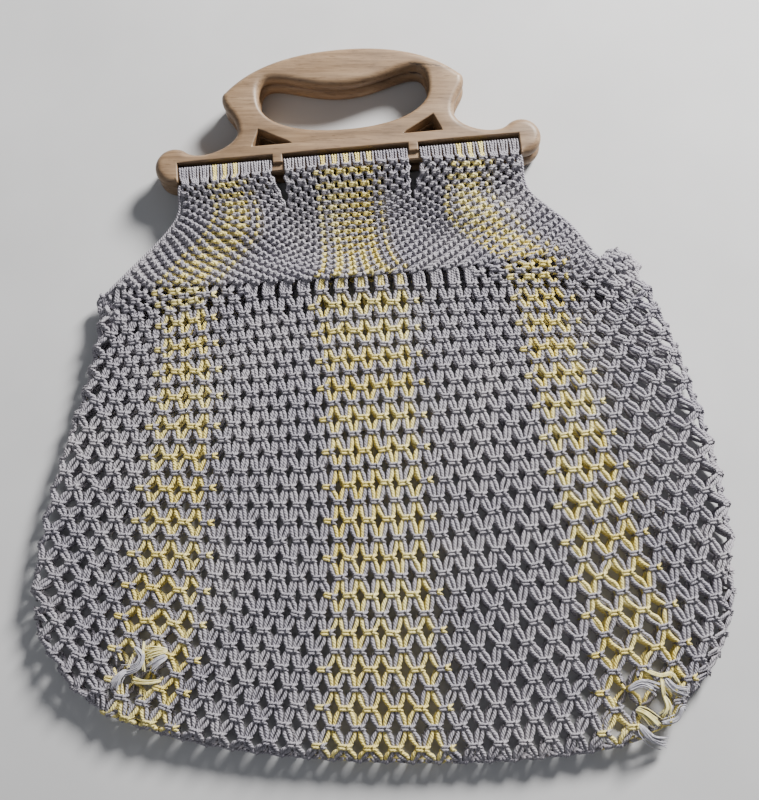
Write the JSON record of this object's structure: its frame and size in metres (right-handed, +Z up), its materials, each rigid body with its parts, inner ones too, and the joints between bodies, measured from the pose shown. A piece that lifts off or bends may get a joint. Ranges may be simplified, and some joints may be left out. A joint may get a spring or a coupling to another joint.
{
  "type": "shopping bag",
  "caption": "Knotted cotton cord shopping bag with striped open net, a denser knotted yoke and a pair of pierced wooden handle boards, lying flat.",
  "frame": {"origin": "middle of the bag's plan, on the surface it lies on", "axes": "+Z up from the surface through the flat bag, +Y from the bag's bottom to its handles, +X across the bag to the right"},
  "size_m": [0.41, 0.4378, 0.0223],
  "materials": {
    "grey_cord": "twisted cotton",
    "yellow_cord": "twisted cotton",
    "wood": "thin worn varnish"
  },
  "bodies": {
    "root": {"frayed_ends_left": "grey_cord", "frayed_ends_right": "grey_cord", "handle_back": "wood", "handle_front": "wood", "net_pouch": "grey_cord", "net_stripe_back_centre": "yellow_cord", "net_stripe_back_left": "yellow_cord", "net_stripe_back_right": "yellow_cord", "net_stripe_front_centre": "yellow_cord", "net_stripe_front_left": "yellow_cord", "net_stripe_front_right": "yellow_cord", "rail_loops_back_left": "grey_cord", "rail_loops_back_middle": "grey_cord", "rail_loops_back_right": "grey_cord", "rail_loops_front_left": "grey_cord", "rail_loops_front_middle": "grey_cord", "rail_loops_front_right": "grey_cord", "side_knots_left": "grey_cord", "side_knots_right": "grey_cord", "yoke_back": "grey_cord", "yoke_front": "grey_cord", "yoke_stripe_back_centre": "yellow_cord", "yoke_stripe_back_left": "yellow_cord", "yoke_stripe_back_right": "yellow_cord", "yoke_stripe_front_centre": "yellow_cord", "yoke_stripe_front_left": "yellow_cord", "yoke_stripe_front_right": "yellow_cord"}
  },
  "joints": []
}
